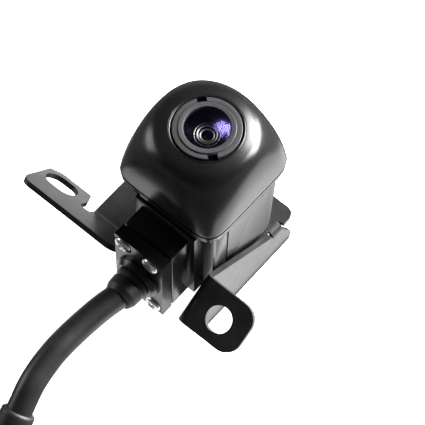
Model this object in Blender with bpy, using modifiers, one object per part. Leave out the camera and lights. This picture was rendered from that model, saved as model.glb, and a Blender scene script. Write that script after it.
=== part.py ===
"""Rear-view (backup) camera on a bent steel bracket, with its cable and plug.

Dimensions are in millimetres in camera coordinates: the origin is the centre of the lens rim, +Z runs
along the lens axis towards the front, and the cable leaves towards -Y. An empty carries everything to
the part's own frame, whose origin is under the middle of the camera, level with the bracket's foot.
"""

import math

import bmesh
import bpy
from mathutils import Matrix, Vector

MM = 0.001
GAP = 0.3  # between pieces that touch

# Where the camera coordinates sit in the part's frame
FRAME_SHIFT = (5.15, 4.95, 52.1)

# Front cover
RIM_R = 7.5
COVER_HALF = 12.7
COVER_OFFSET = (-0.7, -0.1)  # the cover's square foot is not quite centred on the lens
COVER_SHOULDER_Z = -12.0
COVER_SHOULDER_POWER = 2.64
COVER_FOOT_POWER = 7.3
COVER_SEAM_Z = -14.7
COVER_WALL = 1.5
COVER_SIDES = 48
BORE_R = 7.0

# Rear housing
HOUSING_TOP_HALF = 10.1
HOUSING_TOP_REAR = 11.7
HOUSING_BOTTOM_HALF = 9.6
HOUSING_BOTTOM_REAR = 10.9
HOUSING_BOTTOM_Z = -42.0
HOUSING_CORNER = 3.0
LIP_RINGS = ((10.9, -18.4), (12.2, -16.9), (12.4, COVER_SEAM_Z - GAP))  # half width and height
POST_X = 10.0
POST_Y = (-9.6, -5.3)
GROOVE_WIDTH = 0.4
BLOCK_X = 7.6
BLOCK_Y = -12.5
BLOCK_TOP_Z = -19.0

# Cable outlet
BOX_X = 6.1
BOX_TOP_Z = -21.2
BOX_BOTTOM_Z = -42.0
BOX_END_Y = -20.4
BOX_SPLIT_Y = -17.7
OUTLET_SCREWS = ((-4.0, -23.5), (3.0, -23.6), (-3.8, -39.9), (3.6, -40.1))
SCREW_HEAD_R = 1.9
GLAND_Z = -32.0

# Lens barrel contents and boards
GLASS_SPHERE_R = 6.9
GLASS_TOP_Z = 1.45
GLASS_EDGE_ANGLE = 38.6
NOTCH_ANGLES = (140, 320)
BOARD_HALF = 7.6
BOARD_CORNER = 1.2
SENSOR_BOARD_Z = (-19.5, -18.5)
MAIN_BOARD_Z = (-27.3, -26.3)
BOARD_SCREW_PLACES = ((6.2, 6.2), (-6.2, -6.2))
WIRE_PITCH = 1.6
WIRE_R = 0.45

# Bracket: one sheet with four panels
SHEET = 1.2
PLATE_Z = -42.9
PLATE_LEFT = -20.0
PLATE_REAR = 15.0
BEND_Y = -12.0
EAR_ANGLE = math.radians(45)
EAR_DEPTH = 8.2
BRACKET_SCREWS = ((-6.0, 5.5), (5.5, 6.0), (-5.5, -5.0))
BRACKET_HEAD_R = 2.1
BEND_R = 0.52 * SHEET
ARM_X = 10.9
ARM_BOTTOM_Z = -52.1
TAB_ANGLE = math.radians(33)
TAB_TOP = (-11.8, -30.5)
TAB_DEPTH = 10.9
TAB_WIDTH = 13.4
TAB_CORNER = 3.6
TAB_HOLE = (6.9, 5.8)
TAB_HOLE_R = 2.8
EAR_SLOT_X = -29.4
EAR_SLOT_Y = -0.4
EAR_SLOT_R = 2.8
EAR_SLOT_HALF = 1.1

# Cable: it droops to the level of the bracket's foot, lies in a coil and ends in a plug
CABLE_R = 2.7
SLEEVE_R = 3.5
SLEEVE_START = 31
SLEEVE_LENGTH = 15
FLOOR_Z = ARM_BOTTOM_Z
COIL_CENTRE = (-22.0, -104.0)
COIL_INNER_R = 26.6
COIL_OUTER_R = 33.4
COIL_HEIGHT = 16.0
CABLE_ROUTE = (
    (-0.05, -25.9, -31.9),
    (-1.0, -30.9, -32.0),
    (-1.7, -37.2, -32.4),
    (-1.9, -42.5, -32.7),
    (-1.7, -47.2, -33.6),
    (-1.2, -50.9, -34.6),
    (-0.5, -54.4, -36.6),
    (0.1, -57.3, -38.5),
    (0.8, -60.5, -41.0),
    (1.8, -65.0, -44.5),
    (3.0, -70.5, -47.4),
    (4.2, -75.5, -48.9),
    (5.2, -79.5, -49.3),
)
TAIL_ROUTE = (
    (-52.0, -83.0, -43.4),
    (-52.0, -78.0, -45.4),
    (-52.0, -72.0, -47.4),
    (-52.0, -66.0, -48.2),
    (-52.0, -60.4, -48.3),
)
PLUG_HALF = (6.5, 10.0, 4.8)
PLUG_CENTRE = (-52.0, -46.0, FLOOR_Z + PLUG_HALF[2])
LATCH_HINGE = (6.5, 6.3)  # ahead of the plug's middle, and above it
LATCH_HUB_R = 0.85
PIN_PITCH = 2.2
PIN_HALF = 0.3

scene = bpy.context.scene


def fresh_collection(name):
    """An empty collection of that name, linked to the scene."""
    made = bpy.data.collections.new(name)
    scene.collection.children.link(made)
    return made


def clear_scene():
    """Remove whatever the file holds."""
    for found in list(bpy.data.objects):
        bpy.data.objects.remove(found, do_unlink=True)
    for found in list(bpy.data.collections):
        bpy.data.collections.remove(found)


clear_scene()
PARTS = fresh_collection("backup_camera")
CUTTERS = fresh_collection("cutters")
FRAME = bpy.data.objects.new("camera_frame", None)
FRAME.location = [v * MM for v in FRAME_SHIFT]
PARTS.objects.link(FRAME)

MATERIALS = {}


def material(name, colour, roughness=0.45, metallic=0.0):
    """A Principled material, made once for each name."""
    if name not in MATERIALS:
        made = bpy.data.materials.new(name)
        made.use_nodes = True
        shader = made.node_tree.nodes["Principled BSDF"]
        shader.inputs["Base Color"].default_value = (*colour, 1.0)
        shader.inputs["Roughness"].default_value = roughness
        shader.inputs["Metallic"].default_value = metallic
        MATERIALS[name] = made
    return MATERIALS[name]


BLACK_PLASTIC = material("black_plastic", (0.02, 0.02, 0.02), 0.38)
BLACK_STEEL = material("coated_steel", (0.03, 0.03, 0.03), 0.35, 0.2)
LENS_METAL = material("black_anodised", (0.03, 0.03, 0.035), 0.3, 0.6)
GLASS = material("coated_glass", (0.10, 0.06, 0.25), 0.03)
CHROME = material("bright_zinc", (0.75, 0.75, 0.75), 0.18, 1.0)
RUBBER = material("black_rubber", (0.015, 0.015, 0.015), 0.6)
JACKET = material("cable_jacket", (0.025, 0.025, 0.025), 0.5)
BOARD = material("circuit_board", (0.01, 0.12, 0.04), 0.5)
SILICON = material("sensor_package", (0.08, 0.08, 0.09), 0.3)
BRASS = material("brass", (0.7, 0.5, 0.2), 0.3, 1.0)
WIRE_COLOURS = (
    material("wire_red", (0.55, 0.03, 0.03), 0.5),
    material("wire_black", (0.02, 0.02, 0.02), 0.5),
    material("wire_yellow", (0.7, 0.55, 0.05), 0.5),
    material("wire_white", (0.8, 0.8, 0.8), 0.5),
)


def place(name, bm, look, smooth=35):
    """Make an object of a bmesh whose numbers are millimetres in camera coordinates."""
    bmesh.ops.remove_doubles(bm, verts=bm.verts, dist=0.0005)
    bmesh.ops.scale(bm, vec=(MM, MM, MM), verts=bm.verts)
    bmesh.ops.recalc_face_normals(bm, faces=bm.faces)
    mesh = bpy.data.meshes.new(name)
    bm.to_mesh(mesh)
    bm.free()
    made = bpy.data.objects.new(name, mesh)
    made.data.materials.append(look)
    made.data.shade_smooth()
    made.data.set_sharp_from_angle(angle=math.radians(smooth))
    PARTS.objects.link(made)
    made.parent = FRAME
    return made


def as_cutter(made):
    """Move an object to the cutters, which are left out of the part."""
    PARTS.objects.unlink(made)
    CUTTERS.objects.link(made)
    made.hide_render = True
    made.display_type = "WIRE"
    return made


def boolean(target, other, operation="DIFFERENCE"):
    """Apply one exact Boolean, and put the other object among the cutters."""
    if other.name not in CUTTERS.objects:
        as_cutter(other)
    modifier = target.modifiers.new(operation.lower(), "BOOLEAN")
    modifier.operation = operation
    modifier.solver = "EXACT"
    modifier.object = other
    bpy.context.view_layer.update()
    evaluated = target.evaluated_get(bpy.context.evaluated_depsgraph_get())
    mesh = bpy.data.meshes.new_from_object(evaluated)
    target.modifiers.clear()
    target.data = mesh
    return target


def cube(name, low, high, look, bevel=0.0):
    """A box between two corners, with its edges rounded."""
    bm = bmesh.new()
    bmesh.ops.create_cube(bm, size=1.0)
    size = [b - a for a, b in zip(low, high)]
    middle = [(a + b) / 2 for a, b in zip(low, high)]
    bmesh.ops.scale(bm, vec=size, verts=bm.verts)
    bmesh.ops.translate(bm, vec=middle, verts=bm.verts)
    if bevel:
        bmesh.ops.bevel(bm, geom=bm.edges, offset=bevel, segments=2, affect="EDGES", profile=0.5)
    return place(name, bm, look)


def rod(name, radius, start, end, look, sides=24, end_radius=None):
    """A cylinder or cone from one point to another."""
    start = Vector(start)
    end = Vector(end)
    run = end - start
    bm = bmesh.new()
    bmesh.ops.create_cone(
        bm,
        cap_ends=True,
        segments=sides,
        radius1=radius,
        radius2=radius if end_radius is None else end_radius,
        depth=run.length,
    )
    turn = run.to_track_quat("Z", "Y").to_matrix().to_4x4()
    bmesh.ops.transform(bm, matrix=Matrix.Translation((start + end) / 2) @ turn, verts=bm.verts)
    return place(name, bm, look)


def turned(name, profile, look, sides=48, base=(0, 0, 0), axis=(0, 0, 1)):
    """Turn a closed outline of (radius, height) pairs about an axis through base, with a Screw modifier."""
    bm = bmesh.new()
    line = [bm.verts.new((radius, 0, height)) for radius, height in profile]
    for k, (radius, _height) in enumerate(profile):
        after = (k + 1) % len(profile)
        if radius > 0 or profile[after][0] > 0:
            bm.edges.new((line[k], line[after]))
    mesh = bpy.data.meshes.new(f"{name}_profile")
    bm.to_mesh(mesh)
    bm.free()
    blank = bpy.data.objects.new(f"{name}_profile", mesh)
    PARTS.objects.link(blank)
    screw = blank.modifiers.new("turn", "SCREW")
    screw.steps = sides
    screw.render_steps = sides
    screw.use_merge_vertices = True
    screw.merge_threshold = 0.0001
    bpy.context.view_layer.update()
    evaluated = blank.evaluated_get(bpy.context.evaluated_depsgraph_get())
    bm = bmesh.new()
    bm.from_mesh(evaluated.data)
    bpy.data.objects.remove(blank)
    turn = Vector(axis).to_track_quat("Z", "Y").to_matrix().to_4x4()
    bmesh.ops.transform(bm, matrix=Matrix.Translation(base) @ turn, verts=bm.verts)
    return place(name, bm, look)


def squircle(half_x, half_y, power, sides, centre=(0.0, 0.0)):
    """Points of a superellipse: power 2 is an ellipse, and a high power is nearly a rectangle."""
    points = []
    for step in range(sides):
        angle = 2 * math.pi * step / sides
        c = math.cos(angle)
        s = math.sin(angle)
        x = half_x * math.copysign(abs(c) ** (2 / power), c)
        y = half_y * math.copysign(abs(s) ** (2 / power), s)
        points.append((centre[0] + x, centre[1] + y))
    return points


def rounded_rectangle(half_x, half_y, radius, per_corner=5, centre=(0.0, 0.0)):
    """Points round a rectangle with arcs at its corners, starting at the +X side."""
    points = []
    for k, (sx, sy) in enumerate(((1, 1), (-1, 1), (-1, -1), (1, -1))):
        for step in range(per_corner + 1):
            angle = math.radians(90 * k + 90 * step / per_corner)
            x = sx * (half_x - radius) + radius * math.cos(angle)
            y = sy * (half_y - radius) + radius * math.sin(angle)
            points.append((centre[0] + x, centre[1] + y))
    return points


def arc(centre, radius, start, end, steps=6):
    """Points along an arc, in degrees."""
    points = []
    for k in range(steps + 1):
        angle = math.radians(start + (end - start) * k / steps)
        points.append((centre[0] + radius * math.cos(angle), centre[1] + radius * math.sin(angle)))
    return points


def loft(name, sections, look, closed_loop=False, smooth=35):
    """Skin a list of equal rings of (x, y, z) points; a closed loop of rings makes a shell."""
    bm = bmesh.new()
    rings = [[bm.verts.new(p) for p in ring] for ring in sections]
    spans = len(rings) if closed_loop else len(rings) - 1
    for k in range(spans):
        here = rings[k]
        there = rings[(k + 1) % len(rings)]
        for i in range(len(here)):
            j = (i + 1) % len(here)
            bm.faces.new((here[i], here[j], there[j], there[i]))
    if not closed_loop:
        bm.faces.new(rings[0])
        bm.faces.new(rings[-1])
    return place(name, bm, look, smooth)


def at_height(points, z):
    return [(x, y, z) for x, y in points]


def extruded(name, outline, thickness, matrix, look):
    """A flat outline extruded half its thickness to both sides of its plane, carried by a matrix."""
    bm = bmesh.new()
    face = bm.faces.new([bm.verts.new((x, y, -thickness / 2)) for x, y in outline])
    grown = bmesh.ops.extrude_face_region(bm, geom=[face])
    raised = [item for item in grown["geom"] if isinstance(item, bmesh.types.BMVert)]
    bmesh.ops.translate(bm, vec=(0, 0, thickness), verts=raised)
    bmesh.ops.transform(bm, matrix=matrix, verts=bm.verts)
    return place(name, bm, look)


def smooth_route(points, spacing):
    """Evenly spaced points on a Catmull-Rom curve through the given points."""
    route = [Vector(p) for p in points]
    padded = [2 * route[0] - route[1], *route, 2 * route[-1] - route[-2]]
    fine = []
    for k in range(1, len(padded) - 2):
        a, b, c, d = padded[k - 1 : k + 3]
        for step in range(20):
            t = step / 20
            fine.append(
                0.5
                * (
                    2 * b
                    + (c - a) * t
                    + (2 * a - 5 * b + 4 * c - d) * t**2
                    + (3 * b - a - 3 * c + d) * t**3
                )
            )
    fine.append(route[-1])
    along = [0.0]
    for a, b in zip(fine, fine[1:]):
        along.append(along[-1] + (b - a).length)
    count = max(2, round(along[-1] / spacing))
    even = []
    k = 0
    for step in range(count + 1):
        want = along[-1] * step / count
        while k < len(fine) - 2 and along[k + 1] < want:
            k += 1
        share = (want - along[k]) / max(along[k + 1] - along[k], 1e-9)
        even.append(fine[k].lerp(fine[k + 1], min(share, 1.0)))
    return even


def tube(name, points, radius, look, resolution=3):
    """A round tube along points, as a mesh with its caps welded on."""
    curve = bpy.data.curves.new(name, "CURVE")
    curve.dimensions = "3D"
    spline = curve.splines.new("POLY")
    spline.points.add(len(points) - 1)
    for target, p in zip(spline.points, points):
        target.co = (p[0] * MM, p[1] * MM, p[2] * MM, 1.0)
    curve.bevel_depth = radius * MM
    curve.bevel_resolution = resolution
    curve.use_fill_caps = True
    shape = bpy.data.objects.new(name + "_curve", curve)
    PARTS.objects.link(shape)
    bpy.context.view_layer.update()
    mesh = bpy.data.meshes.new_from_object(shape.evaluated_get(bpy.context.evaluated_depsgraph_get()))
    bpy.data.objects.remove(shape)
    bpy.data.curves.remove(curve)
    bm = bmesh.new()
    bm.from_mesh(mesh)
    bpy.data.meshes.remove(mesh)
    bmesh.ops.scale(bm, vec=(1 / MM, 1 / MM, 1 / MM), verts=bm.verts)
    return place(name, bm, look)


def cover_share(z):
    """How far the cover has spread from the rim to its full width, from 0 to 1: a full shoulder."""
    drop = 1 - min(1.0, z / COVER_SHOULDER_Z)
    return (1 - drop**COVER_SHOULDER_POWER) ** (1 / COVER_SHOULDER_POWER)


def cover_section(z, inset=0.0, floor_half=0.0):
    """The cover's outline at a height: a circle at the rim, a rounded square at the seam."""
    share = cover_share(z)
    half = max(floor_half, RIM_R + (COVER_HALF - RIM_R) * share - inset)
    power = 2 + (COVER_FOOT_POWER - 2) * (z / COVER_SEAM_Z) ** 2
    centre = (COVER_OFFSET[0] * share, COVER_OFFSET[1] * share)
    return at_height(squircle(half, half, power, COVER_SIDES, centre), z)


def make_cover():
    outer = []
    for z in (0.0, -0.3, -0.8, -1.6, -2.8, -4.4, -6.4, -8.8, -11.6, COVER_SEAM_Z):
        outer.append(cover_section(z))
    inner = []
    for z in (COVER_SEAM_Z, -11.6, -8.8, -6.4, -4.6):
        inner.append(cover_section(z, COVER_WALL, BORE_R + 0.1))
    inner.append(at_height(squircle(BORE_R, BORE_R, 2, COVER_SIDES), -2.8))
    inner.append(at_height(squircle(BORE_R, BORE_R, 2, COVER_SIDES), -0.4))
    return loft("front_cover", outer + inner, BLACK_PLASTIC, closed_loop=True)


def make_seal():
    rings = []
    for half, z in ((10.1, -14.2), (10.1, -13.0), (9.7, -13.0), (9.7, -14.2)):
        rings.append(at_height(rounded_rectangle(half, half, half - 5.5, 6), z))
    return loft("cover_seal", rings, RUBBER, closed_loop=True)


def housing_ring(half_x, front, rear, radius, z):
    middle = (front + rear) / 2
    return at_height(rounded_rectangle(half_x, (rear - front) / 2, radius, 6, (0.0, middle)), z)


def make_housing():
    body = loft(
        "rear_housing",
        [
            housing_ring(HOUSING_BOTTOM_HALF, -9.0, HOUSING_BOTTOM_REAR, HOUSING_CORNER, HOUSING_BOTTOM_Z),
            housing_ring(HOUSING_TOP_HALF, -9.3, HOUSING_TOP_REAR, HOUSING_CORNER, -17.6),
        ],
        BLACK_PLASTIC,
    )
    lip_rings = []
    for half, z in LIP_RINGS:
        lip_rings.append(at_height(squircle(half, half, COVER_FOOT_POWER, COVER_SIDES, COVER_OFFSET), z))
    lip = loft("housing_lip", lip_rings, BLACK_PLASTIC)
    boolean(body, lip, "UNION")
    spigot = loft(
        "housing_spigot",
        [
            at_height(rounded_rectangle(9.4, 9.4, 3.9, 6), -16.0),
            at_height(rounded_rectangle(9.4, 9.4, 3.9, 6), -12.6),
        ],
        BLACK_PLASTIC,
    )
    boolean(body, spigot, "UNION")
    block_low = (-BLOCK_X, BLOCK_Y, HOUSING_BOTTOM_Z)
    block = cube("outlet_block", block_low, (BLOCK_X, -8.0, BLOCK_TOP_Z), BLACK_PLASTIC)
    boolean(body, block, "UNION")
    box_low = (-BOX_X, BOX_SPLIT_Y + GAP, BOX_BOTTOM_Z)
    box = cube("outlet_box", box_low, (BOX_X, -8.5, BOX_TOP_Z), BLACK_PLASTIC, 0.4)
    boolean(body, box, "UNION")
    for side in (-1, 1):
        inner = side * 7.0
        outer = side * POST_X
        post = cube(
            f"corner_post_{side}",
            (min(inner, outer), POST_Y[0], HOUSING_BOTTOM_Z),
            (max(inner, outer), POST_Y[1], -17.5),
            BLACK_PLASTIC,
            0.4,
        )
        boolean(body, post, "UNION")
    cavity = loft(
        "housing_cavity",
        [
            at_height(rounded_rectangle(8.5, 8.5, 3.0, 4, (0.0, 0.6)), HOUSING_BOTTOM_Z + 1.6),
            at_height(rounded_rectangle(8.5, 8.5, 3.0, 4, (0.0, 0.1)), -11.0),
        ],
        BLACK_PLASTIC,
    )
    boolean(body, cavity)
    boolean(body, cube("outlet_cavity", (-4.6, -18.0, -37.2), (4.6, -7.0, -26.2), BLACK_PLASTIC))
    groove_low = (POST_X - 0.9, POST_Y[1], -40.0)
    groove_high = (POST_X + 1, POST_Y[1] + GROOVE_WIDTH, -17.6)
    boolean(body, cube("post_groove", groove_low, groove_high, BLACK_PLASTIC))
    for number, (x, z) in enumerate(OUTLET_SCREWS):
        boolean(body, rod(f"screw_bore_{number}", 1.0, (x, -17.5, z), (x, -11.0, z), BLACK_PLASTIC, 12))
    for number, (x, y) in enumerate(BRACKET_SCREWS):
        boss = rod(f"boss_{number}", 2.3, (x, y, -41.0), (x, y, -36.5), BLACK_PLASTIC, 16)
        boolean(body, boss, "UNION")
        boolean(body, rod(f"boss_bore_{number}", 1.0, (x, y, -43.0), (x, y, -37.5), BLACK_PLASTIC, 12))
    return body


BRACKET_SCREWS = ((-6.0, 5.5), (5.5, 6.0), (-5.5, -5.0))


def make_outlet():
    """The screwed end cover of the cable outlet, its gasket and its four screws."""
    cover = cube(
        "outlet_cover",
        (-BOX_X, BOX_END_Y, BOX_BOTTOM_Z),
        (BOX_X, BOX_SPLIT_Y, BOX_TOP_Z),
        BLACK_PLASTIC,
        0.45,
    )
    boss = turned(
        "outlet_boss",
        [(0.0, -1.0), (5.2, -1.0), (5.2, 0.4), (4.9, 1.1), (4.2, 1.6), (0.0, 1.6)],
        BLACK_PLASTIC,
        24,
        (0.0, BOX_END_Y, GLAND_Z),
        (0, -1, 0),
    )
    boolean(cover, boss, "UNION")
    bore = rod("gland_bore", 3.0, (0, -24, GLAND_Z), (0, -16, GLAND_Z), BLACK_PLASTIC, 22)
    boolean(cover, bore)
    for number, (x, z) in enumerate(OUTLET_SCREWS):
        seat = rod(
            f"screw_seat_{number}",
            SCREW_HEAD_R + GAP,
            (x, BOX_END_Y - 2, z),
            (x, BOX_END_Y + 0.9, z),
            BLACK_PLASTIC,
            16,
        )
        boolean(cover, seat)
        boolean(cover, rod(f"screw_hole_{number}", 1.3, (x, -22, z), (x, -16, z), BLACK_PLASTIC, 16))
    pocket = cube("gasket_pocket", (-5.5, -18.3, -38.1), (5.5, -17.0, -25.3), BLACK_PLASTIC)
    boolean(cover, pocket)
    gasket = cube("outlet_gasket", (-5.2, -18.0, -37.7), (5.2, -17.7, -25.5), RUBBER)
    boolean(gasket, cube("gasket_window", (-4.6, -19.0, -37.1), (4.6, -16.0, -26.1), RUBBER))
    for number, (x, z) in enumerate(OUTLET_SCREWS):
        pan_head_screw(
            f"outlet_screw_{number + 1}",
            SCREW_HEAD_R,
            1.3,
            0.8,
            8.0,
            (x, BOX_END_Y + 0.6, z),
            (0, -1, 0),
        )


def pan_head_screw(name, head_r, head_height, shank_r, shank_length, seat, axis):
    """A cross-recessed pan-head screw whose head stands on seat and points along axis."""
    profile = [(0.0, -shank_length), (shank_r * 0.7, -shank_length)]
    profile += [(shank_r, -shank_length + 0.6), (shank_r, 0.0), (head_r, 0.0)]
    for angle in (0, 30, 60):
        rise = math.sin(math.radians(angle))
        profile.append((head_r * math.cos(math.radians(angle)), head_height * (0.35 + 0.65 * rise)))
    profile.append((0.0, head_height))
    screw = turned(name, profile, CHROME, 12, seat, axis)
    turn = Vector(axis).to_track_quat("Z", "Y").to_matrix().to_4x4()
    for number, angle in enumerate((0, 90)):
        bm = bmesh.new()
        bmesh.ops.create_cube(bm, size=1.0)
        bmesh.ops.scale(bm, vec=(head_r * 1.15, 0.42, head_height), verts=bm.verts)
        spin = Matrix.Rotation(math.radians(angle + 20), 4, "Z")
        lift = Matrix.Translation((0, 0, head_height * 0.95))
        bmesh.ops.transform(bm, matrix=Matrix.Translation(seat) @ turn @ lift @ spin, verts=bm.verts)
        boolean(screw, place(f"{name}_recess_{number}", bm, CHROME))
    return screw


def make_lens():
    """The lens barrel and what it holds, front to back."""
    turned(
        "lens_barrel",
        [
            (6.6, -0.9),
            (6.6, -1.5),
            (5.85, -1.5),
            (5.85, -2.5),
            (6.6, -2.5),
            (6.6, -3.1),
            (6.0, -3.3),
            (6.0, -16.0),
            (3.2, -16.0),
            (3.2, -9.4),
            (4.2, -9.2),
            (4.2, -2.7),
            (5.25, -2.6),
            (5.25, -0.9),
        ],
        LENS_METAL,
        32,
    )
    ring_profile = [(4.65, -0.6), (6.7, -0.6), (6.7, 0.1), (6.4, 0.4), (5.9, 0.4)]
    ring_profile += [(5.7, 0.2), (5.5, 0.55), (4.95, 0.6), (4.65, 0.3)]
    ring = turned("lens_ring", ring_profile, LENS_METAL, 40)
    for number, angle in enumerate(NOTCH_ANGLES):
        bm = bmesh.new()
        bmesh.ops.create_cube(bm, size=1.0)
        bmesh.ops.scale(bm, vec=(1.6, 2.1, 2.4), verts=bm.verts)
        spin = Matrix.Rotation(math.radians(angle), 4, "Z") @ Matrix.Translation((6.9, 0, 0.3))
        bmesh.ops.transform(bm, matrix=spin, verts=bm.verts)
        boolean(ring, place(f"spanner_notch_{number}", bm, LENS_METAL))
    dome = []
    for step in range(6):
        angle = math.radians(GLASS_EDGE_ANGLE * (1 - step / 5))
        dome.append((GLASS_SPHERE_R * math.sin(angle), GLASS_TOP_Z - GLASS_SPHERE_R * (1 - math.cos(angle))))
    dome[-1] = (0.0, dome[-1][1])
    turned("front_glass", [(0.0, -2.3), (4.95, -2.3), (4.95, -0.95), (4.35, -0.9), *dome], GLASS, 32)
    turned("spacer_ring", [(3.0, -3.6), (3.9, -3.6), (3.9, -2.9), (3.0, -2.9)], LENS_METAL, 32)
    second = [(0.0, -4.7), (2.6, -5.0), (3.9, -5.3), (3.9, -4.2), (2.9, -3.95), (0.0, -3.9)]
    turned("second_lens", second, GLASS, 32)
    turned("stop_ring", [(1.7, -6.4), (3.9, -6.4), (3.9, -5.6), (2.2, -5.7), (1.7, -6.1)], LENS_METAL, 32)
    rear = [(0.0, -8.9), (1.8, -8.8), (3.9, -8.4), (3.9, -7.6), (1.9, -7.0), (0.0, -6.8)]
    turned("rear_lens", rear, GLASS, 32)
    turned("lens_seal", [(6.12, -2.25), (6.72, -2.25), (6.72, -1.75), (6.12, -1.75)], RUBBER, 40)


def make_board(name, heights):
    """A small board with rounded corners and its two screw holes."""
    outline = rounded_rectangle(BOARD_HALF, BOARD_HALF, BOARD_CORNER, 3)
    board = loft(name, [at_height(outline, z) for z in heights], BOARD)
    for number, (x, y) in enumerate(BOARD_SCREW_PLACES):
        hole = rod(f"{name}_hole_{number}", 0.9, (x, y, heights[0] - 0.7), (x, y, heights[1] + 0.7), BOARD, 16)
        boolean(board, hole)


def make_electronics():
    """The lens holder, the filter and sensor under it, both boards, and the wires to the cable."""
    sides = 40
    rings = [
        at_height(squircle(7.1, 7.1, 2.2, sides), -18.2),
        at_height(squircle(7.1, 7.1, 2.2, sides), -12.0),
        at_height(squircle(6.9, 6.9, 2.0, sides), -9.0),
        at_height(squircle(6.3, 6.3, 2.0, sides), -9.0),
        at_height(squircle(6.3, 6.3, 2.0, sides), -16.3),
        at_height(squircle(3.7, 3.7, 5.0, sides), -16.5),
        at_height(squircle(3.7, 3.7, 5.0, sides), -18.2),
    ]
    loft("lens_holder", rings, BLACK_PLASTIC, closed_loop=True)
    cube("ir_filter", (-3.0, -3.0, -16.95), (3.0, 3.0, -16.6), GLASS)
    cube("image_sensor", (-2.8, -2.8, -18.2), (2.8, 2.8, -17.3), SILICON, 0.1)
    make_board("sensor_board", SENSOR_BOARD_Z)
    make_board("main_board", MAIN_BOARD_Z)
    for number, (x, y) in enumerate(BOARD_SCREW_PLACES):
        turned(
            f"board_spacer_{number + 1}",
            [(0.9, -26.0), (1.3, -26.0), (1.3, -19.8), (0.9, -19.8)],
            BRASS,
            16,
            (x, y, 0),
        )
        pan_head_screw(f"board_screw_{number + 1}", 1.15, 0.8, 0.6, 10.0, (x, y, -18.2), (0, 0, 1))
        turned(
            f"board_nut_{number + 1}",
            [(0.9, -29.0), (1.4, -29.0), (1.4, -27.6), (0.9, -27.6)],
            BRASS,
            6,
            (x, y, 0),
        )
    header = cube("board_header", (-4.2, -6.8, -30.4), (4.2, -3.6, -27.6), SILICON, 0.15)
    boolean(header, cube("header_mouth", (-3.6, -7.5, -29.8), (3.6, -5.4, -28.2), SILICON))
    cube("video_chip", (-3.0, -1.0, -28.9), (3.0, 5.0, -27.6), SILICON, 0.15)
    for number in range(4):
        x = WIRE_PITCH * (number - 1.5)
        end_x = -0.75 if number < 2 else 0.75
        end_z = GLAND_Z - 0.75 if number in (0, 3) else GLAND_Z + 0.75
        route = (
            (x, -5.9, -29.0),
            (x, -8.5, -29.2),
            (x * 0.7 + end_x * 0.3, -13.0, -30.4),
            (end_x, -18.5, end_z),
            (end_x, -24.6, end_z),
        )
        tube(f"wire_{number + 1}", smooth_route(route, 1.8), WIRE_R, WIRE_COLOURS[number], 2)


def ear_outline():
    """The ear in its own plane: X as in the camera, Y up its slope from the bend line."""
    return [
        (-8.5, 0.0),
        *arc((-11.5, EAR_DEPTH - 3.0), 3.0, 0, 90),
        *arc((-32.2, EAR_DEPTH - 2.4), 2.4, 90, 180),
        (-34.6, -3.3),
        (-32.2, -4.8),
        (-24.1, -4.8),
        (-22.8, -1.5),
        (-22.8, 2.0),
        (-20.5, 2.0),
        (PLATE_LEFT, 0.0),
    ]


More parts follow.
